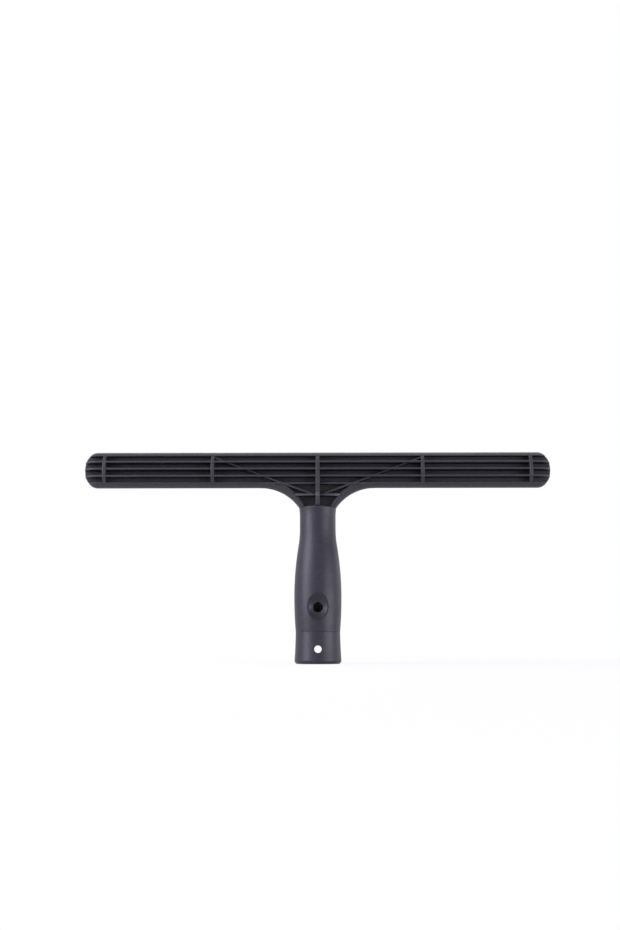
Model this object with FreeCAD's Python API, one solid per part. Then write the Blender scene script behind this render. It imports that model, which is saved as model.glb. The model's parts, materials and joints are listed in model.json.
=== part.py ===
import FreeCAD, Part
import math
import os

from FreeCAD import Vector

# Window scrubber T-bar: a ribbed bar on a hollow handle that takes an extension pole.
# Millimetres. X runs along the bar, -Y faces the user, +Z is up.
# The origin is the centre of the handle's open lower end.

# Bar
BAR_LENGTH = 350.0
BAR_HEIGHT = 27.0
BAR_DEPTH = 20.0
BAR_FACE_RADIUS = 26.0
BAR_CORNER_RADIUS = 11.0
RAIL_HEIGHT = 3.75
RAIL_EDGE = 1.0
RAIL_LIP_LAND = 0.55
WEB_THICKNESS = 2.4
WEB_END_INSET = 0.3
FIN_TIP = 1.5
FIN_TIP_CHAMFER = 0.42
DRAFT_ANGLE = 1.2

# Upright ribs across the bar
INNER_RIB_SHARE = 0.448
END_RIB_FROM_END = 15.8
RIB_THICKNESS = 2.6
CENTRE_RIB_THICKNESS = 3.0
RIB_PROUD = 0.45
RIB_HEAD_INSET = 0.3
RIB_BURY = 1.2
RIB_CHAMFER = 0.45
CENTRE_RIB_ABOVE_RIM = 1.3

# Gusset between bar and handle
GUSSET_HEIGHT = 15.1
GUSSET_RADIUS = 35.0
GUSSET_FIN_THICKNESS = 1.7
GUSSET_FIN_DEPTH = 13.0
GUSSET_FIN_STEP = 0.05
BRACE_THICKNESS = 1.7
BRACE_DEPTH = 13.2
BRACE_HEAD_DROP = 0.7
BRACE_FOOT_X = 2.4
TIE_THICKNESS = 1.9
TIE_DEPTH = 14.4
TIE_CHAMFER = 0.55
TIE_END_OVERLAP = 0.8
TIE_ABOVE_RIM = 9.26
BRACE_CHAMFER = 0.5
GUSSET_WEB_INSET = 8.0
FLANGE_TURN = 75.0
LINING_HEIGHT = 1.25
LINING_DEPTH = 11.4
LINING_SHIFT_X = 2.3
LINING_SHIFT_Z = 2.1

# Shoulder and spigot under the gusset
SHOULDER_STEP = 1.9
SHOULDER_HEIGHT = 0.4
SPIGOT_LENGTH = 25.0
SPIGOT_PLUG = 2.5
SPIGOT_WALL = 3.0
SPIGOT_CHAMFER = 1.2
SPIGOT_LEAD_IN = 2.4
KEY_WIDTH = 3.0
KEY_HEIGHT = 0.8
SPIGOT_KEY_LENGTH = 8.0
SNAP_HEIGHT = 0.45
SNAP_LENGTH = 2.0
SNAP_ABOVE_FOOT = 6.0
SPIGOT_TO_SOCKET = 10.0

# Grip
HANDLE_LENGTH = 115.0
RIM_FLARE = 0.6
RIM_FLARE_LENGTH = 6.5
RIM_CHAMFER = 0.4
NECK_RADIUS = 13.33
NECK_WALL = 2.73
NECK_LENGTH = 15.5
BELLY_SWELL = 1.12
BELLY_Z = 49.0
BELLY_SHARE = 0.74
SEAM_CHAMFER = 0.12

# Dished recess and hole for the pole's lock button
LOCK_Z = 40.8
LOCK_HOLE_RADIUS = 3.7
DISH_RADIUS = 13.4
DISH_DEPTH = 3.9
DISH_ROUND = 0.9

# Collar
COLLAR_HEIGHT = 23.2
COLLAR_WALL = 3.8
FOOT_FLARE = 0.87
FOOT_ROUND = 2.5
COLLAR_HOLLOW = 0.14
TONGUE_HEIGHT = 3.0
BEAD_Z = 18.0
BEAD_HEIGHT = 0.35
BEAD_LENGTH = 1.2
BEAD_FLAT = 0.4

# Hole across the handle's foot
CROSS_HOLE_Z = 10.7
CROSS_HOLE_RADIUS = 2.75

# Socket for the pole
SOCKET_RADIUS = 11.0
SOCKET_WALL = 1.5
SOCKET_FLOOR = 2.0
SOCKET_LEAD_IN = 0.8
SOCKET_KEY_START = 3.0

# Clearance between pieces that fit together
FIT = 0.05

# Closer than this counts as level
LEVEL = 1e-3

HALF_LENGTH = BAR_LENGTH / 2
HALF_HEIGHT = BAR_HEIGHT / 2
HALF_DEPTH = BAR_DEPTH / 2
HALF_WEB = WEB_THICKNESS / 2
CORNER_Z = HALF_HEIGHT - BAR_CORNER_RADIUS
FACE_TO_CORNER = BAR_FACE_RADIUS - BAR_CORNER_RADIUS
FACE_Y = HALF_DEPTH - BAR_FACE_RADIUS
CORNER_Y = FACE_Y + math.sqrt(FACE_TO_CORNER ** 2 - CORNER_Z ** 2)
TURN_SLOPE = CORNER_Z / FACE_TO_CORNER
BAR_Z = HANDLE_LENGTH + GUSSET_HEIGHT + HALF_HEIGHT
END_X = HALF_LENGTH - HALF_DEPTH
INNER_RIB_X = HALF_LENGTH * INNER_RIB_SHARE
END_RIB_X = HALF_LENGTH - END_RIB_FROM_END
DRAFT = math.tan(math.radians(DRAFT_ANGLE))
RAIL_IN = HALF_HEIGHT - RAIL_HEIGHT
RIB_HEAD = RAIL_IN + RIB_BURY
FIN_PITCH = (RAIL_IN + FIN_TIP / 2) / 2
GUSSET_FIN_Z = -RAIL_IN + GUSSET_FIN_STEP - GUSSET_FIN_THICKNESS / 2
TUBE_RADIUS = SOCKET_RADIUS + SOCKET_WALL
SEAT_RADIUS = TUBE_RADIUS + FIT
WAIST_RADIUS = SEAT_RADIUS + COLLAR_WALL
TONGUE_RADIUS = (SEAT_RADIUS + WAIST_RADIUS) / 2
FOOT_RADIUS = WAIST_RADIUS + FOOT_FLARE
BELLY_RADIUS = WAIST_RADIUS + BELLY_SWELL
NECK_BORE_RADIUS = NECK_RADIUS - NECK_WALL
RIM_RADIUS = NECK_RADIUS + RIM_FLARE
SHOULDER_RADIUS = RIM_RADIUS - SHOULDER_STEP
SPIGOT_RADIUS = NECK_BORE_RADIUS - FIT
SPIGOT_FOOT_Z = HANDLE_LENGTH - SPIGOT_LENGTH
SNAP_Z = SPIGOT_FOOT_Z + SNAP_ABOVE_FOOT
TUBE_TOP = SPIGOT_FOOT_Z - SPIGOT_TO_SOCKET
SOCKET_DEPTH = TUBE_TOP - SOCKET_FLOOR
GUSSET_ARC_Z = HANDLE_LENGTH + GUSSET_HEIGHT - GUSSET_RADIUS
GUSSET_ARC_X = RIM_RADIUS + math.sqrt(GUSSET_RADIUS ** 2 - (GUSSET_RADIUS - GUSSET_HEIGHT) ** 2)
LINING_RADIUS = GUSSET_RADIUS + RAIL_HEIGHT + LINING_HEIGHT
LINING_ARC_X = GUSSET_ARC_X + LINING_SHIFT_X
LINING_ARC_Z = GUSSET_ARC_Z + LINING_SHIFT_Z
TIE_Z = HANDLE_LENGTH + TIE_ABOVE_RIM
UP = Vector(0, 0, 1)
ACROSS = Vector(0, 1, 0)
ALONG = Vector(1, 0, 0)
ORIGIN = Vector(0, 0, 0)


def fused(shapes):
    """Joins solids into one moulding and merges the faces that run on."""
    return shapes[0].multiFuse(shapes[1:]).removeSplitter()


def path(points):
    """Straight edges from point to point."""
    return [Part.makeLine(points[k], points[k + 1]) for k in range(len(points) - 1)]


def face_of(edges):
    return Part.Face(Part.Wire(Part.__sortEdges__(edges)))


def polygon_face(points):
    return Part.Face(Part.makePolygon(points + points[:1]))


def envelope(z, inset=0):
    """Half depth of the bar's outline, a shallow front arc between two tighter ones, at a height."""
    face = BAR_FACE_RADIUS - inset
    if abs(z) < face * TURN_SLOPE:
        return FACE_Y + math.sqrt(face ** 2 - z ** 2)
    return CORNER_Y + math.sqrt((BAR_CORNER_RADIUS - inset) ** 2 - (abs(z) - CORNER_Z) ** 2)


def at(y, z):
    """Point of the bar's cross-section, with z measured from the bar's centre."""
    return Vector(0, y, BAR_Z + z)


def rail_curve():
    """Radius of a rail's rounded outside, centred on the web, and the point where it ends."""
    edge_z = RAIL_IN + RAIL_EDGE
    edge_y = envelope(edge_z)
    drop = HALF_HEIGHT - edge_z
    return (edge_y ** 2 + drop ** 2) / (2 * drop), edge_y, edge_z


def rail_arc(up):
    """The rail's rounded outside on the +Y side, on the upper (1) or lower (-1) rail."""
    radius, edge_y, edge_z = rail_curve()
    middle = math.asin(edge_y / radius) / 2
    centre_z = HALF_HEIGHT - radius
    points = [
        at(0, up * HALF_HEIGHT),
        at(radius * math.sin(middle), up * (centre_z + radius * math.cos(middle))),
        at(edge_y, up * edge_z),
    ]
    return Part.Arc(*points).toShape()


def rail_corners(up):
    """Corners of a rail on the +Y side: from the end of its outside over its blunt lip to the web."""
    radius, edge_y, edge_z = rail_curve()
    slope = edge_y / (edge_z - HALF_HEIGHT + radius)
    # The outside, run on straight, would meet the drafted inner face in a knife edge.
    lip_y = (RAIL_EDGE + slope * edge_y + DRAFT * HALF_WEB) / (slope + DRAFT)
    lip_z = RAIL_IN + (lip_y - HALF_WEB) * DRAFT
    edge = at(edge_y, up * edge_z)
    lip = at(lip_y, up * lip_z)
    root = at(HALF_WEB, up * RAIL_IN)
    outer = lip + (edge - lip).normalize() * RAIL_LIP_LAND
    inner = lip + (root - lip).normalize() * RAIL_LIP_LAND
    return [edge, outer, inner, root]


def fin_corners(z, tip_y, tip):
    """Corners of one drafted fin on the +Y side, from its upper root round its tip to its lower root."""
    root = tip / 2 + (tip_y - HALF_WEB) * DRAFT
    flat = tip / 2 - FIN_TIP_CHAMFER
    return [
        at(HALF_WEB, z + root),
        at(tip_y - FIN_TIP_CHAMFER, z + tip / 2),
        at(tip_y, z + flat),
        at(tip_y, z - flat),
        at(tip_y - FIN_TIP_CHAMFER, z - tip / 2),
        at(HALF_WEB, z - root),
    ]


def half_section(with_lower_rail):
    """Edges of the bar's cross-section on the +Y side, from the top of the bar downwards."""
    corners = rail_corners(1)
    for z in (FIN_PITCH, 0, -FIN_PITCH):
        corners += fin_corners(z, envelope(z), FIN_TIP)
    if with_lower_rail:
        corners += rail_corners(-1)[::-1]
        return [rail_arc(1)] + path(corners) + [rail_arc(-1)]
    corners += fin_corners(GUSSET_FIN_Z, GUSSET_FIN_DEPTH / 2, GUSSET_FIN_THICKNESS)
    corners += [at(HALF_WEB, -HALF_HEIGHT), at(0, -HALF_HEIGHT)]
    return [rail_arc(1)] + path(corners)


def mirrored(edges):
    return [e.mirror(ORIGIN, ACROSS) for e in edges]


def bar_length(edges, start_x, end_x):
    face = face_of(edges + mirrored(edges))
    face.translate(ALONG * start_x)
    return face.extrude(ALONG * (end_x - start_x))


def bulge(head, middle):
    """Arc down the front of a plate, from one depth at the rails to another at the bar's centre."""
    return Part.Arc(at(head, RIB_HEAD), at(middle, 0), at(head, -RIB_HEAD)).toShape()


def bar_end(side):
    """Domed end: half of the section turned about an upright axis, with the web running out into it."""
    edges = half_section(True)
    half = face_of(edges + [Part.makeLine(at(0, -HALF_HEIGHT), at(0, HALF_HEIGHT))])
    half.translate(ALONG * (side * END_X))
    dome = half.revolve(ALONG * (side * END_X), UP * -side, 180)
    turn_z = (BAR_FACE_RADIUS - WEB_END_INSET) * TURN_SLOPE
    outline = []
    for low, high in ((-RIB_HEAD, -turn_z), (-turn_z, turn_z), (turn_z, RIB_HEAD)):
        points = [at(envelope(z, WEB_END_INSET), z) for z in (low, (low + high) / 2, high)]
        outline.append(Part.Arc(*points).toShape())
    head = envelope(RIB_HEAD, WEB_END_INSET)
    back = path([at(head, -RIB_HEAD), at(0, -RIB_HEAD), at(0, RIB_HEAD), at(head, RIB_HEAD)])
    web = face_of(outline + back).extrude(ALONG * WEB_THICKNESS)
    web.translate(ALONG * -HALF_WEB)
    web.rotate(ORIGIN, UP, -90 * side)
    web.translate(ALONG * (side * END_X))
    return [dome, web]


def upright_rib(x):
    """Rib across the bar, its front and back rounded and a little prouder than the fins."""
    head = envelope(RIB_HEAD) - RIB_HEAD_INSET
    front = bulge(head, HALF_DEPTH + RIB_PROUD)
    ends = [Part.makeLine(at(head, z), at(-head, z)) for z in (RIB_HEAD, -RIB_HEAD)]
    plate = face_of([front] + mirrored([front]) + ends).extrude(ALONG * RIB_THICKNESS)
    plate.translate(ALONG * (x - RIB_THICKNESS / 2))
    rims = [e for e in plate.Edges if e.BoundBox.XLength < LEVEL and e.BoundBox.ZLength > RIB_HEAD]
    return plate.makeChamfer(RIB_CHAMFER, rims)


def centre_rib():
    """Rib on the middle of the bar that runs on straight down the gusset to just above the handle."""
    head = envelope(RIB_HEAD) - RIB_HEAD_INSET
    deep = HALF_DEPTH + RIB_PROUD
    rise = deep - head
    radius = (RIB_HEAD ** 2 + rise ** 2) / (2 * rise)
    half_angle = math.asin(RIB_HEAD / radius) / 2
    middle = at(deep - radius + radius * math.cos(half_angle), radius * math.sin(half_angle))
    foot = HANDLE_LENGTH + CENTRE_RIB_ABOVE_RIM - BAR_Z
    front = [
        Part.Arc(at(head, RIB_HEAD), middle, at(deep, 0)).toShape(),
        Part.makeLine(at(deep, 0), at(deep, foot)),
    ]
    ends = [
        Part.makeLine(at(head, RIB_HEAD), at(-head, RIB_HEAD)),
        Part.makeLine(at(deep, foot), at(-deep, foot)),
    ]
    plate = face_of(front + mirrored(front) + ends).extrude(ALONG * CENTRE_RIB_THICKNESS)
    plate.translate(ALONG * (-CENTRE_RIB_THICKNESS / 2))
    rims = [e for e in plate.Edges if e.BoundBox.XLength < LEVEL and e.BoundBox.ZLength > LEVEL]
    return plate.makeChamfer(RIB_CHAMFER, rims)


def brace(side):
    """Diagonal from the head of the inner rib down to the tie over the handle, beside its middle."""
    start = Vector(side * INNER_RIB_X, 0, BAR_Z + RAIL_IN - BRACE_HEAD_DROP)
    end = Vector(side * BRACE_FOOT_X, 0, TIE_Z)
    run = end - start
    plate = Part.makeBox(run.Length, BRACE_DEPTH, BRACE_THICKNESS)
    plate.translate(Vector(0, -BRACE_DEPTH / 2, -BRACE_THICKNESS / 2))
    rims = [e for e in plate.Edges if e.BoundBox.XLength > run.Length / 2]
    plate = plate.makeChamfer(BRACE_CHAMFER, rims)
    plate.rotate(ORIGIN, ACROSS, math.degrees(math.atan2(-run.z, run.x)))
    plate.translate(start)
    return plate


def gusset_flange(side):
    """The lower rail carried round the gusset's arc and cut off level on the handle's rim."""
    outside = [rail_arc(-1)] + path(rail_corners(-1))
    bridge = Part.makeLine(at(HALF_WEB, -RAIL_IN), at(-HALF_WEB, -RAIL_IN))
    rail = face_of(outside + mirrored(outside) + [bridge])
    rail.translate(ALONG * (side * GUSSET_ARC_X))
    pivot = Vector(side * GUSSET_ARC_X, 0, GUSSET_ARC_Z)
    flange = rail.revolve(pivot, ACROSS * -side, FLANGE_TURN)
    below = Part.makeBox(BAR_LENGTH, BAR_DEPTH, BAR_LENGTH)
    below.translate(Vector(-HALF_LENGTH, -HALF_DEPTH, HANDLE_LENGTH - BAR_LENGTH))
    return flange.cut(below)


def gusset_lining(side):
    """Step along the inside of a flange, from the gusset fin down to the handle's rim, thinning downwards."""
    outer_z = LINING_ARC_Z + GUSSET_RADIUS + RAIL_HEIGHT / 2
    inner_z = LINING_ARC_Z + LINING_RADIUS
    half = LINING_DEPTH / 2
    corners = [(-half, outer_z), (half, outer_z), (half, inner_z), (-half, inner_z)]
    band = polygon_face([Vector(side * LINING_ARC_X, y, z) for y, z in corners])
    pivot = Vector(side * LINING_ARC_X, 0, LINING_ARC_Z)
    ring = band.revolve(pivot, ACROSS * -side, FLANGE_TURN)
    kept = Part.makeBox(BAR_LENGTH, BAR_DEPTH, BAR_Z + GUSSET_FIN_Z - HANDLE_LENGTH)
    kept.translate(Vector(-HALF_LENGTH, -HALF_DEPTH, HANDLE_LENGTH))
    return ring.common(kept)


def gusset_web():
    """Flat web between the two flanges, from the gusset fin down into the shoulder."""
    radius = GUSSET_RADIUS + RAIL_HEIGHT / 2
    start_angle = math.asin(GUSSET_WEB_INSET / radius)
    foot_z = HANDLE_LENGTH + SHOULDER_HEIGHT / 2
    foot_angle = math.acos((foot_z - GUSSET_ARC_Z) / radius)
    top_z = BAR_Z + GUSSET_FIN_Z

    def on_arc(side, angle):
        x = side * (GUSSET_ARC_X - radius * math.sin(angle))
        return Vector(x, -HALF_WEB, GUSSET_ARC_Z + radius * math.cos(angle))

    edges = []
    for side in (-1, 1):
        first = on_arc(side, start_angle)
        middle = on_arc(side, (start_angle + foot_angle) / 2)
        last = on_arc(side, foot_angle)
        edges.append(Part.Arc(first, middle, last).toShape())
        edges.append(Part.makeLine(first, Vector(first.x, first.y, top_z)))
    foot = on_arc(1, foot_angle)
    head = on_arc(1, start_angle)
    edges.append(Part.makeLine(foot, Vector(-foot.x, foot.y, foot.z)))
    edges.append(Part.makeLine(Vector(head.x, head.y, top_z), Vector(-head.x, head.y, top_z)))
    return face_of(edges).extrude(ACROSS * WEB_THICKNESS)


def gusset_tie():
    """Level rib just above the handle, its ends standing proud on the steps inside the flanges."""
    radius = LINING_RADIUS - TIE_END_OVERLAP
    half = LINING_ARC_X - math.sqrt(radius ** 2 - (TIE_Z - LINING_ARC_Z) ** 2)
    tie = Part.makeBox(2 * half, TIE_DEPTH, TIE_THICKNESS)
    tie.translate(Vector(-half, -TIE_DEPTH / 2, TIE_Z - TIE_THICKNESS / 2))
    rims = [e for e in tie.Edges if e.BoundBox.XLength > half]
    return tie.makeChamfer(TIE_CHAMFER, rims)


def spigot():
    """Shoulder that sits on the handle's rim, and the crossed spigot, keyed and with a snap, below it."""
    shoulder = Part.makeCylinder(SHOULDER_RADIUS, SHOULDER_HEIGHT, Vector(0, 0, HANDLE_LENGTH))
    plug_z = HANDLE_LENGTH - SPIGOT_PLUG
    plug = Part.makeCylinder(SPIGOT_RADIUS, SPIGOT_PLUG + SHOULDER_HEIGHT / 2, Vector(0, 0, plug_z))
    outline = [
        (0, SPIGOT_FOOT_Z),
        (SPIGOT_RADIUS - SPIGOT_CHAMFER, SPIGOT_FOOT_Z),
        (SPIGOT_RADIUS, SPIGOT_FOOT_Z + SPIGOT_LEAD_IN),
        (SPIGOT_RADIUS, SNAP_Z - SNAP_LENGTH),
        (SPIGOT_RADIUS + SNAP_HEIGHT, SNAP_Z),
        (SPIGOT_RADIUS, SNAP_Z),
        (SPIGOT_RADIUS, plug_z + SPIGOT_PLUG / 2),
        (0, plug_z + SPIGOT_PLUG / 2),
    ]
    turned = polygon_face([Vector(r, 0, z) for r, z in outline]).revolve(ORIGIN, UP, 360)
    reach = 2 * NECK_RADIUS
    walls = []
    for wide, deep in ((reach, SPIGOT_WALL), (SPIGOT_WALL, reach)):
        wall = Part.makeBox(wide, deep, SPIGOT_LENGTH)
        wall.translate(Vector(-wide / 2, -deep / 2, SPIGOT_FOOT_Z))
        walls.append(wall)
    crossed = turned.common(walls[0].fuse(walls[1]))
    keys = Part.makeBox(KEY_WIDTH, 2 * (SPIGOT_RADIUS + KEY_HEIGHT), SPIGOT_KEY_LENGTH)
    keys.translate(Vector(-KEY_WIDTH / 2, -SPIGOT_RADIUS - KEY_HEIGHT, HANDLE_LENGTH - SPIGOT_KEY_LENGTH))
    return [shoulder, plug, crossed, keys]


def t_bar_head():
    full = half_section(True)
    solids = [
        bar_length(full, -END_X, -GUSSET_ARC_X),
        bar_length(half_section(False), -GUSSET_ARC_X, GUSSET_ARC_X),
        bar_length(full, GUSSET_ARC_X, END_X),
    ]
    for side in (-1, 1):
        solids += bar_end(side)
        solids.append(upright_rib(side * INNER_RIB_X))
        solids.append(upright_rib(side * END_RIB_X))
        solids.append(brace(side))
        solids.append(gusset_flange(side))
        solids.append(gusset_lining(side))
    solids += [centre_rib(), gusset_web(), gusset_tie()]
    return fused(solids + spigot())


def on_profile(radius, z):
    """Point of a turned piece's profile."""
    return Vector(radius, 0, z)


def key_bars(start_z, end_z, grow):
    """Two keys on the sides of the socket tube, grown by a clearance for the keyways."""
    wide = KEY_WIDTH + 2 * grow
    reach = TUBE_RADIUS + KEY_HEIGHT + grow
    bars = Part.makeBox(2 * reach, wide, end_z - start_z)
    bars.translate(Vector(-reach, -wide / 2, start_z))
    return bars


def round_bore(radius, start_z, end_z):
    return Part.makeCylinder(radius, end_z - start_z, Vector(0, 0, start_z))


def hole_across(radius, z, start_y, end_y):
    return Part.makeCylinder(radius, end_y - start_y, Vector(0, start_y, z), ACROSS)


def handle_grip():
    def upright_arc(start, end, upright_radius, upright_z):
        """Arc between two points of the outside that stands upright at one of them."""
        far_radius, far_z = end if start == (upright_radius, upright_z) else start
        step = far_radius - upright_radius
        run = far_z - upright_z
        bend = (step ** 2 + run ** 2) / (2 * step)
        half = math.asin(abs(run / bend)) / 2
        middle_radius = upright_radius + bend * (1 - math.cos(half))
        middle_z = upright_z + math.copysign(abs(bend) * math.sin(half), run)
        return Part.Arc(on_profile(*start), on_profile(middle_radius, middle_z), on_profile(*end)).toShape()

    waist = (WAIST_RADIUS, COLLAR_HEIGHT)
    belly = (BELLY_RADIUS, BELLY_Z)
    neck_z = HANDLE_LENGTH - NECK_LENGTH
    turn = (
        BELLY_RADIUS + BELLY_SHARE * (NECK_RADIUS - BELLY_RADIUS),
        BELLY_Z + BELLY_SHARE * (neck_z - BELLY_Z),
    )
    neck = (NECK_RADIUS, neck_z)
    neck_top = (NECK_RADIUS, HANDLE_LENGTH - RIM_FLARE_LENGTH)
    rim = (RIM_RADIUS, HANDLE_LENGTH)
    outside = [
        upright_arc(waist, belly, *belly),
        upright_arc(belly, turn, *belly),
        upright_arc(turn, neck, *neck),
        Part.makeLine(on_profile(*neck), on_profile(*neck_top)),
        upright_arc(neck_top, rim, *neck_top),
    ]
    inside = path([
        on_profile(*rim),
        on_profile(0, HANDLE_LENGTH),
        on_profile(0, COLLAR_HEIGHT),
        on_profile(*waist),
    ])
    body = face_of(outside + inside).revolve(ORIGIN, UP, 360)
    rims = [e for e in body.Edges if e.BoundBox.ZLength < LEVEL and e.BoundBox.ZMin > HANDLE_LENGTH - LEVEL]
    body = body.makeChamfer(RIM_CHAMFER, rims)
    seams = [e for e in body.Edges if e.BoundBox.ZMax < COLLAR_HEIGHT + LEVEL]
    body = body.makeChamfer(SEAM_CHAMFER, seams)
    dish = Part.makeSphere(DISH_RADIUS, Vector(0, DISH_DEPTH - BELLY_RADIUS - DISH_RADIUS, LOCK_Z))
    body = body.cut(dish)
    dish_edges = [e for e in body.Edges if e.BoundBox.YMax < -NECK_BORE_RADIUS]
    body = body.makeFillet(DISH_ROUND, dish_edges)
    keys = Part.makeBox(
        KEY_WIDTH + 2 * FIT, 2 * (SPIGOT_RADIUS + KEY_HEIGHT + FIT), SPIGOT_KEY_LENGTH + FIT
    )
    keys.translate(Vector(
        -KEY_WIDTH / 2 - FIT, -SPIGOT_RADIUS - KEY_HEIGHT - FIT, HANDLE_LENGTH - SPIGOT_KEY_LENGTH - FIT
    ))
    hollows = [
        round_bore(SEAT_RADIUS, COLLAR_HEIGHT, TUBE_TOP + FIT),
        round_bore(TONGUE_RADIUS + FIT, COLLAR_HEIGHT, COLLAR_HEIGHT + TONGUE_HEIGHT + FIT),
        round_bore(NECK_BORE_RADIUS, TUBE_TOP, HANDLE_LENGTH),
        round_bore(NECK_BORE_RADIUS + SNAP_HEIGHT, SNAP_Z - SNAP_LENGTH, SNAP_Z + FIT),
        keys,
        key_bars(COLLAR_HEIGHT, TUBE_TOP + FIT, FIT),
        hole_across(LOCK_HOLE_RADIUS, LOCK_Z, -BELLY_RADIUS, 0),
    ]
    return body.cut(hollows).removeSplitter()


def end_collar():
    side = Part.Arc(
        on_profile(WAIST_RADIUS, COLLAR_HEIGHT),
        on_profile((WAIST_RADIUS + FOOT_RADIUS) / 2 - COLLAR_HOLLOW, (COLLAR_HEIGHT + FOOT_ROUND) / 2),
        on_profile(FOOT_RADIUS, FOOT_ROUND),
    ).toShape()
    lean = FOOT_ROUND * math.sqrt(0.5)
    foot_in = FOOT_RADIUS - FOOT_ROUND
    foot = Part.Arc(
        on_profile(FOOT_RADIUS, FOOT_ROUND),
        on_profile(foot_in + lean, FOOT_ROUND - lean),
        on_profile(foot_in, 0),
    ).toShape()
    bead_in = SEAT_RADIUS - BEAD_HEIGHT
    top_z = COLLAR_HEIGHT + TONGUE_HEIGHT
    inside = path([
        on_profile(foot_in, 0),
        on_profile(SEAT_RADIUS, 0),
        on_profile(SEAT_RADIUS, BEAD_Z - BEAD_LENGTH / 2),
        on_profile(bead_in, BEAD_Z - BEAD_FLAT / 2),
        on_profile(bead_in, BEAD_Z + BEAD_FLAT / 2),
        on_profile(SEAT_RADIUS, BEAD_Z + BEAD_LENGTH / 2),
        on_profile(SEAT_RADIUS, top_z),
        on_profile(TONGUE_RADIUS, top_z),
        on_profile(TONGUE_RADIUS, COLLAR_HEIGHT),
        on_profile(WAIST_RADIUS, COLLAR_HEIGHT),
    ])
    ring = face_of([side, foot] + inside).revolve(ORIGIN, UP, 360)
    seams = [
        e for e in ring.Edges
        if e.BoundBox.ZLength < LEVEL
        and abs(e.BoundBox.ZMin - COLLAR_HEIGHT) < LEVEL
        and e.BoundBox.XMax > TONGUE_RADIUS + FIT
    ]
    ring = ring.makeChamfer(SEAM_CHAMFER, seams)
    ways = key_bars(SOCKET_KEY_START - FIT, top_z, FIT)
    hole = hole_across(CROSS_HOLE_RADIUS, CROSS_HOLE_Z, -BAR_DEPTH, BAR_DEPTH)
    return ring.cut([ways, hole]).removeSplitter()


def pole_socket():
    groove_r = SEAT_RADIUS - BEAD_HEIGHT - FIT
    groove_top = BEAD_Z + BEAD_LENGTH / 2 + FIT
    groove_foot = BEAD_Z - BEAD_LENGTH / 2 - FIT
    tube = round_bore(TUBE_RADIUS, 0, TUBE_TOP)
    tube = tube.fuse(key_bars(SOCKET_KEY_START, TUBE_TOP, 0))
    groove = round_bore(SEAT_RADIUS + KEY_HEIGHT, groove_foot, groove_top)
    groove = groove.cut(round_bore(groove_r, groove_foot, groove_top))
    mouth = Part.makeCone(SOCKET_RADIUS + SOCKET_LEAD_IN, SOCKET_RADIUS, SOCKET_LEAD_IN)
    hollows = [
        groove,
        round_bore(SOCKET_RADIUS, 0, SOCKET_DEPTH),
        mouth,
        hole_across(LOCK_HOLE_RADIUS, LOCK_Z, -BAR_DEPTH, 0),
        hole_across(CROSS_HOLE_RADIUS, CROSS_HOLE_Z, -BAR_DEPTH, BAR_DEPTH),
    ]
    return tube.cut(hollows).removeSplitter()


os.makedirs("parts", exist_ok=True)
pieces = {
    "t_bar_head": t_bar_head(),
    "handle_grip": handle_grip(),
    "end_collar": end_collar(),
    "pole_socket": pole_socket(),
}
for name, shape in pieces.items():
    box = shape.BoundBox
    print(name, len(shape.Solids), shape.isValid(), round(shape.Volume), box)
    shape.exportStep("parts/" + name + ".step")
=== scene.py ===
import bpy
import json
import math
from mathutils import Matrix, Vector


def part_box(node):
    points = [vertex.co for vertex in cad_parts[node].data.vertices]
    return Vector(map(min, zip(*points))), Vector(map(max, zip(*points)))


# Window scrubber T-bar in charcoal moulded plastic, standing on its handle on a white floor.
# Metres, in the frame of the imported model: X along the bar, -Y to the front, +Z up.

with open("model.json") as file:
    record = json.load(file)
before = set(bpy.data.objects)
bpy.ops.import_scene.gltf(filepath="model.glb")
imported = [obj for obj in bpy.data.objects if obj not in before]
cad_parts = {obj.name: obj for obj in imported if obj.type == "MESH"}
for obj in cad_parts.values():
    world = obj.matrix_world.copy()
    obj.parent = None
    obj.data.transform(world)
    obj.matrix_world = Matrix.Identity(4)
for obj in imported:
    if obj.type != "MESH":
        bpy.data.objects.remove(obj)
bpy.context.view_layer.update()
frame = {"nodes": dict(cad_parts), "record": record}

# Camera, worked out from the photograph; angles in degrees
IMAGE_LONG_SIDE = 930
FOCAL_PIXELS = 1143.24
SENSOR = 36.0
CAMERA_PLACE = (0.0, -0.850, 0.0107)
CAMERA_PITCH = 9.1529
CAMERA_ROLL = -0.1
OBJECT_OFFSET_PIXELS = 7.65
CLIP_NEAR = 0.01
CLIP_FAR = 50.0

# Floor: the share of plain white near the object, and the distances over which it rises to all of the floor
FLOOR_HALF_SIZE = 6.0
FLOOR_COLOUR = (0.9, 0.9, 0.9)
FLOOR_WHITE_NEAR = 0.80
FLOOR_FADE = (0.15, 0.80)

# Light: colours, the point that the lamps are aimed at, and the rays that see the background as plain white
WHITE = (1.0, 1.0, 1.0)
COOL_LIGHT = (1.0, 0.96, 1.17)
LAMP_AIM = (0.0, 0.0, 0.09)
AMBIENT_STRENGTH = 0.22
WHITE_STRENGTH = 1.0
WHITE_RAYS = ("Is Camera Ray", "Is Glossy Ray", "Is Transmission Ray")

# Thumb dish in the front of the grip: the oval of its rim, the line of painted shade along it, and a Y behind
# its floor
DISH_HALF_WIDTH = 0.0073
DISH_HALF_HEIGHT = 0.0096
DISH_ABOVE_HOLE = 0.0006
DISH_LINE = 0.0008
DISH_BACK_Y = -0.0131

# Painted shade in the lower half of the dish: where it sets in, in half heights, and how much there is
DISH_LOW_RANGE = (-0.1, -0.6)
DISH_LOW_SHADE = 0.8

# Tie across the gusset over the handle: the band with a painted highlight, paler than the rest of the head
TIE_ABOVE_GRIP = 0.00926
TIE_HALF_THICKNESS = 0.0011
TIE_HALF_LENGTH = 0.0170
TIE_FADE = 0.0004
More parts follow.
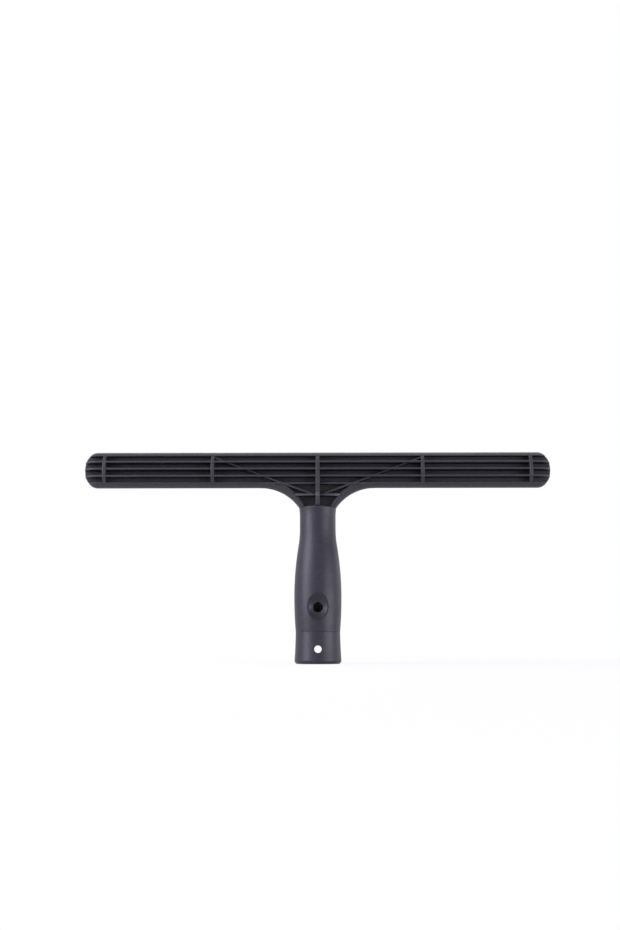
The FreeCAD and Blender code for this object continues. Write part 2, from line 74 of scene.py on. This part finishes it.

# Plastic: base colours, and the colour of painted shade in deep corners and in the thumb dish
HEAD_COLOUR = (0.0172, 0.0170, 0.0195)
GRIP_COLOUR = (0.0135, 0.0127, 0.0186)
SOCKET_COLOUR = (0.18, 0.177, 0.165)
PAINTED_SHADE_COLOUR = (0.0053, 0.0052, 0.0092)

# Shades of a plastic, as factors on its base colour, and the largest shares of flecks and specks
CLOUD_DARK = 0.85
CLOUD_PALE = 0.97
FLECK_PALE = 1.53
SPECK_PALE = 1.5
# Factor by which rubbed wear and painted highlight make edges and the tie paler
WEAR_AND_HIGHLIGHT_PALE = 4.0
FLECK_SHARE = 0.7
SPECK_SHARE = 0.25

# Noise patterns: scale and detail
CLOUD = (28.0, 3.0)
FLECK = (520.0, 2.0)
SPECK = (1500.0, 2.0)
PATCH = (90.0, 4.0)
GLOSS = (60.0, 4.0)
MOTTLE = (650.0, 3.0)
GRAIN = (2600.0, 3.0)
COLOUR_NOISE_ROUGHNESS = 0.55
BUMP_NOISE_ROUGHNESS = 0.6

# Ranges of noise, turned normals and openness over which an effect grows, and the least wear and painted
# highlight between patches
CLOUD_RANGE = (0.3, 0.7)
FLECK_RANGE = (0.35, 0.65)
SPECK_RANGE = (0.35, 0.8)
PATCH_RANGE = (0.38, 0.62)
GLOSS_RANGE = (0.3, 0.7)
WEAR_AND_HIGHLIGHT_RANGE = (0.995, 0.93)
PROUD_RANGE = (0.45, 0.8)
CORNER_RANGE = (0.75, 0.25)
PATCH_LEAST = 0.4

# Surface: gloss, rounded edges, how far openness looks, and the two bumps
PLASTIC_IOR = 1.5
SPECULAR_LEVEL = 0.28
GLOSS_SPREAD = 0.045
# How much duller the gloss is under the painted shade in the thumb dish
SHADE_DULLS = 0.3
# Radius of the edge mask for rubbed wear and painted highlight
WEAR_AND_HIGHLIGHT_RADIUS = 0.0006
EDGE_RADIUS = 0.00035
EDGE_SAMPLES = 6
OPEN_REACH = 0.012
OPEN_SAMPLES = 8
MOTTLE_STRENGTH = 0.8
MOTTLE_DEPTH = 0.00007
GRAIN_DEPTH = 0.00006
SMOOTH_ANGLE = 28


def add_node(tree, kind, **values):
    node = tree.nodes.new(kind)
    for name, value in values.items():
        setattr(node, name, value)
    return node


def noise(tree, place, scale, detail, roughness=COLOUR_NOISE_ROUGHNESS):
    node = add_node(tree, "ShaderNodeTexNoise")
    node.inputs["Scale"].default_value = scale
    node.inputs["Detail"].default_value = detail
    node.inputs["Roughness"].default_value = roughness
    tree.links.new(place, node.inputs["Vector"])
    return node.outputs["Fac"]


def spread(tree, value, limits, to_low=0.0, to_high=1.0):
    """Maps a value from between two limits to another range and clamps it."""
    node = add_node(tree, "ShaderNodeMapRange", clamp=True)
    node.inputs["From Min"].default_value = limits[0]
    node.inputs["From Max"].default_value = limits[1]
    node.inputs["To Min"].default_value = to_low
    node.inputs["To Max"].default_value = to_high
    tree.links.new(value, node.inputs["Value"])
    return node.outputs["Result"]


def mixed(tree, factor, first, second):
    """Mixes two colours, each a colour or a socket, by a factor."""
    node = add_node(tree, "ShaderNodeMix", data_type="RGBA")
    tree.links.new(factor, node.inputs["Factor"])
    for value, socket in ((first, node.inputs[6]), (second, node.inputs[7])):
        if isinstance(value, tuple):
            socket.default_value = (*value, 1)
        else:
            tree.links.new(value, socket)
    return node.outputs[2]


def scaled(colour, factor):
    return tuple(channel * factor for channel in colour)


def calculated(tree, operation, *values):
    """A Math node on numbers and sockets."""
    node = add_node(tree, "ShaderNodeMath", operation=operation)
    for value, socket in zip(values, node.inputs):
        if isinstance(value, float):
            socket.default_value = value
        else:
            tree.links.new(value, socket)
    return node.outputs["Value"]


def rounding(tree, radius):
    """The surface's normal with its edges rounded off by a radius."""
    node = add_node(tree, "ShaderNodeBevel", samples=EDGE_SAMPLES)
    node.inputs["Radius"].default_value = radius
    return node.outputs["Normal"]


def openness(tree):
    """Low in deep corners and 1 where the surface lies open."""
    node = add_node(tree, "ShaderNodeAmbientOcclusion", samples=OPEN_SAMPLES)
    node.inputs["Distance"].default_value = OPEN_REACH
    return node.outputs["AO"]


def tie_painted_highlight(tree, place):
    """Painted highlight: 1 on the tie over the handle and 0 elsewhere."""
    tie_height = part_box("handle_grip")[1][2] + TIE_ABOVE_GRIP
    split = add_node(tree, "ShaderNodeSeparateXYZ")
    tree.links.new(place, split.inputs["Vector"])
    rise = calculated(tree, "ABSOLUTE", calculated(tree, "SUBTRACT", split.outputs["Z"], tie_height))
    across = calculated(tree, "ABSOLUTE", split.outputs["X"])
    near = spread(tree, rise, (TIE_HALF_THICKNESS, TIE_HALF_THICKNESS + TIE_FADE), 1.0, 0.0)
    within = spread(tree, across, (TIE_HALF_LENGTH, TIE_HALF_LENGTH + TIE_FADE), 1.0, 0.0)
    return calculated(tree, "MULTIPLY", near, within)


def dish_painted_shade(tree, place):
    """Painted shade: up to 1 along the rim of the thumb dish, less in its lower half, 0 elsewhere and in the
    bore behind.
    """
    hole_height = next(m["pos_m"][2] for m in frame["record"]["mounts"] if m["name"] == "lock_hole")
    split = add_node(tree, "ShaderNodeSeparateXYZ")
    tree.links.new(place, split.inputs["Vector"])
    across = calculated(tree, "DIVIDE", split.outputs["X"], DISH_HALF_WIDTH)
    rise = calculated(tree, "SUBTRACT", split.outputs["Z"], hole_height + DISH_ABOVE_HOLE)
    up = calculated(tree, "DIVIDE", rise, DISH_HALF_HEIGHT)
    square = calculated(tree, "MULTIPLY_ADD", across, across, calculated(tree, "MULTIPLY", up, up))
    reach = calculated(tree, "SQRT", square)
    off = calculated(tree, "ABSOLUTE", calculated(tree, "SUBTRACT", reach, 1.0))
    line = spread(tree, off, (0.0, DISH_LINE / DISH_HALF_WIDTH), 1.0, 0.0)
    low = spread(tree, up, DISH_LOW_RANGE, 0.0, DISH_LOW_SHADE)
    inside = calculated(tree, "LESS_THAN", reach, 1.0)
    shade_mask = calculated(tree, "MAXIMUM", line, calculated(tree, "MULTIPLY", low, inside))
    in_front = calculated(tree, "LESS_THAN", split.outputs["Y"], DISH_BACK_Y)
    return calculated(tree, "MULTIPLY", shade_mask, in_front)


def pigment(tree, place, colour):
    """Cloudy colour with pale flecks and specks."""
    cloud = spread(tree, noise(tree, place, *CLOUD), CLOUD_RANGE)
    fleck = spread(tree, noise(tree, place, *FLECK), FLECK_RANGE, 0.0, FLECK_SHARE)
    speck = spread(tree, noise(tree, place, *SPECK), SPECK_RANGE, 0.0, SPECK_SHARE)
    base = mixed(tree, cloud, scaled(colour, CLOUD_DARK), scaled(colour, CLOUD_PALE))
    base = mixed(tree, fleck, base, scaled(colour, FLECK_PALE))
    return mixed(tree, speck, base, scaled(colour, SPECK_PALE))


def edges_worn_and_highlit(tree, edge_wear_and_sheen):
    """Up to the given amount along edges, where a widely rounded normal leaves the surface's own: rubbed wear
    and painted highlight.
    """
    turned = add_node(tree, "ShaderNodeVectorMath", operation="DOT_PRODUCT")
    tree.links.new(rounding(tree, WEAR_AND_HIGHLIGHT_RADIUS), turned.inputs[0])
    tree.links.new(add_node(tree, "ShaderNodeNewGeometry").outputs["Normal"], turned.inputs[1])
    return spread(tree, turned.outputs["Value"], WEAR_AND_HIGHLIGHT_RANGE, 0.0, edge_wear_and_sheen)


def grained_normal(tree, place, grain):
    """Normal with rounded edges, soft mottling and the fine grain over it."""
    normal = rounding(tree, EDGE_RADIUS)
    for pattern, strength, depth in ((MOTTLE, MOTTLE_STRENGTH, MOTTLE_DEPTH), (GRAIN, grain, GRAIN_DEPTH)):
        bump = add_node(tree, "ShaderNodeBump")
        bump.inputs["Strength"].default_value = strength
        bump.inputs["Distance"].default_value = depth
        tree.links.new(noise(tree, place, *pattern, BUMP_NOISE_ROUGHNESS), bump.inputs["Height"])
        tree.links.new(normal, bump.inputs["Normal"])
        normal = bump.outputs["Normal"]
    return normal


def plastic(name, colour, roughness, grain, edge_wear_and_sheen, corners, highlight_at=None, shaded_at=None):
    """Moulded plastic: uneven colour and gloss, fine grain, edges paler by rubbed wear and painted highlight,
    and painted shade in corners.
    """
    material = bpy.data.materials.new(name)
    material.use_nodes = True
    tree = material.node_tree
    shader = tree.nodes["Principled BSDF"]
    place = add_node(tree, "ShaderNodeTexCoord").outputs["Object"]
    base = pigment(tree, place, colour)
    air = openness(tree)

    # Paler in patches, by rubbed wear and painted highlight along edges that lie open, and by the painted
    # highlight that the mask passed in gives
    wear_and_highlight_mask = edges_worn_and_highlit(tree, edge_wear_and_sheen)
    if highlight_at:
        wear_and_highlight_mask = calculated(tree, "MAXIMUM", wear_and_highlight_mask, highlight_at(tree, place))
    patchy = spread(tree, noise(tree, place, *PATCH), PATCH_RANGE, PATCH_LEAST, 1.0)
    proud = spread(tree, air, PROUD_RANGE)
    wear_and_highlight_mask = calculated(tree, "MULTIPLY", calculated(tree, "MULTIPLY", wear_and_highlight_mask, patchy), proud)
    base = mixed(tree, wear_and_highlight_mask, base, scaled(colour, WEAR_AND_HIGHLIGHT_PALE))

    # Painted shade: darker in deep corners, and darker and duller where the dish mask passed in is high
    corner = spread(tree, air, CORNER_RANGE, 0.0, corners)
    base = mixed(tree, corner, base, PAINTED_SHADE_COLOUR)
    gloss = noise(tree, place, *GLOSS)
    gloss = spread(tree, gloss, GLOSS_RANGE, roughness - GLOSS_SPREAD, roughness + GLOSS_SPREAD)
    if shaded_at:
        shade_mask = shaded_at(tree, place)
        base = mixed(tree, shade_mask, base, PAINTED_SHADE_COLOUR)
        gloss = calculated(tree, "MULTIPLY_ADD", shade_mask, SHADE_DULLS, gloss)

    tree.links.new(base, shader.inputs["Base Color"])
    tree.links.new(gloss, shader.inputs["Roughness"])
    tree.links.new(grained_normal(tree, place, grain), shader.inputs["Normal"])
    shader.inputs["IOR"].default_value = PLASTIC_IOR
    shader.inputs["Specular IOR Level"].default_value = SPECULAR_LEVEL
    return material


def dress(node, material):
    """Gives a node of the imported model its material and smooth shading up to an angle."""
    item = frame["nodes"][node]
    item.data.materials.clear()
    item.data.materials.append(material)
    item.data.shade_smooth()
    item.data.set_sharp_from_angle(angle=math.radians(SMOOTH_ANGLE))


def placed(name, data):
    """Puts a mesh, lamp or camera into the scene as an object."""
    item = bpy.data.objects.new(name, data)
    bpy.context.scene.collection.objects.link(item)
    return item


def white_light(tree, kind, strength):
    """White light from a node that emits it."""
    node = add_node(tree, kind)
    node.inputs["Color"].default_value = (*WHITE, 1)
    node.inputs["Strength"].default_value = strength
    return node.outputs[0]


def white_rays(tree):
    """1 on the rays that see the background as plain white."""
    path = add_node(tree, "ShaderNodeLightPath")
    found = path.outputs[WHITE_RAYS[0]]
    for name in WHITE_RAYS[1:]:
        found = calculated(tree, "MAXIMUM", found, path.outputs[name])
    return found


def show_white(tree, output_kind, factor, usual, white):
    """Sends the usual shader to the output, with the white one in its place by a factor."""
    output = add_node(tree, output_kind)
    blend = add_node(tree, "ShaderNodeMixShader")
    tree.links.new(factor, blend.inputs["Fac"])
    tree.links.new(usual, blend.inputs[1])
    tree.links.new(white, blend.inputs[2])
    tree.links.new(blend.outputs["Shader"], output.inputs["Surface"])


def white_floor():
    """White floor that bounces light and keeps part of the object's shadow near it."""
    half = FLOOR_HALF_SIZE
    mesh = bpy.data.meshes.new("floor")
    corners = [(-half, -half, 0), (half, -half, 0), (half, half, 0), (-half, half, 0)]
    mesh.from_pydata(corners, [], [(0, 1, 2, 3)])
    floor = placed("floor", mesh)
    material = bpy.data.materials.new("floor_white")
    material.use_nodes = True
    tree = material.node_tree
    tree.nodes.clear()
    matt = add_node(tree, "ShaderNodeBsdfDiffuse")
    matt.inputs["Color"].default_value = (*FLOOR_COLOUR, 1)
    glow = white_light(tree, "ShaderNodeEmission", WHITE_STRENGTH)
    away = add_node(tree, "ShaderNodeVectorMath", operation="LENGTH")
    tree.links.new(add_node(tree, "ShaderNodeTexCoord").outputs["Object"], away.inputs[0])
    plain = spread(tree, away.outputs["Value"], FLOOR_FADE, FLOOR_WHITE_NEAR, 1.0)
    factor = calculated(tree, "MULTIPLY", white_rays(tree), plain)
    show_white(tree, "ShaderNodeOutputMaterial", factor, matt.outputs["BSDF"], glow)
    floor.data.materials.append(material)


def white_world():
    """World that is seen as white and lights the object by a plain dim grey."""
    world = bpy.data.worlds.new("studio")
    bpy.context.scene.world = world
    world.use_nodes = True
    tree = world.node_tree
    tree.nodes.clear()
    ambient = white_light(tree, "ShaderNodeBackground", AMBIENT_STRENGTH)
    white = white_light(tree, "ShaderNodeBackground", WHITE_STRENGTH)
    show_white(tree, "ShaderNodeOutputWorld", white_rays(tree), ambient, white)


def softbox(name, azimuth, elevation, distance, size, power, colour=COOL_LIGHT):
    """Lamp of a width and height, aimed at the object; azimuth is 0 at the camera and grows to the right."""
    turn = math.radians(azimuth)
    lift = math.radians(elevation)
    away = Vector((math.sin(turn) * math.cos(lift), -math.cos(turn) * math.cos(lift), math.sin(lift)))
    lamp = bpy.data.lights.new(name, "AREA")
    lamp.shape = "RECTANGLE"
    lamp.size, lamp.size_y = size
    lamp.energy = power
    lamp.color = colour
    item = placed(name, lamp)
    item.location = Vector(LAMP_AIM) + away * distance
    item.rotation_euler = (-away).to_track_quat("-Z", "Y").to_euler()


def camera():
    """Camera of the photograph."""
    data = bpy.data.cameras.new("camera")
    data.sensor_width = SENSOR
    data.lens = FOCAL_PIXELS * SENSOR / IMAGE_LONG_SIDE
    data.shift_x = -OBJECT_OFFSET_PIXELS / IMAGE_LONG_SIDE
    data.clip_start = CLIP_NEAR
    data.clip_end = CLIP_FAR
    item = placed("camera", data)
    item.location = CAMERA_PLACE
    pitch = Matrix.Rotation(math.radians(90 + CAMERA_PITCH), 3, "X")
    roll = Matrix.Rotation(math.radians(CAMERA_ROLL), 3, "Z")
    item.rotation_euler = (pitch @ roll).to_euler()
    bpy.context.scene.camera = item


head_plastic = plastic(
    "head_plastic", HEAD_COLOUR, roughness=0.50, grain=0.35, edge_wear_and_sheen=0.30, corners=0.6, highlight_at=tie_painted_highlight
)
grip_plastic = plastic(
    "grip_plastic", GRIP_COLOUR, roughness=0.43, grain=0.45, edge_wear_and_sheen=0.15, corners=0.1, shaded_at=dish_painted_shade
)
collar_plastic = plastic("collar_plastic", GRIP_COLOUR, roughness=0.43, grain=0.45, edge_wear_and_sheen=0.15, corners=0.1)
socket_plastic = plastic("socket_plastic", SOCKET_COLOUR, roughness=0.55, grain=0.30, edge_wear_and_sheen=0.05, corners=0.1)
dress("t_bar_head", head_plastic)
dress("handle_grip", grip_plastic)
dress("end_collar", collar_plastic)
dress("pole_socket", socket_plastic)

white_floor()
white_world()
softbox("softbox_left", azimuth=-60, elevation=21, distance=1.1, size=(0.62, 1.0), power=19.0)
softbox("softbox_right", azimuth=57, elevation=-1.5, distance=1.2, size=(1.0, 0.12), power=9.6)
softbox("softbox_edge", azimuth=116, elevation=4, distance=1.1, size=(0.7, 0.4), power=0.95)
softbox("softbox_back", azimuth=175, elevation=38, distance=1.3, size=(1.2, 0.7), power=7.0)
softbox("softbox_top", azimuth=90, elevation=80, distance=1.2, size=(0.8, 0.35), power=2.0, colour=WHITE)
camera()
bpy.context.scene.view_settings.view_transform = "Standard"
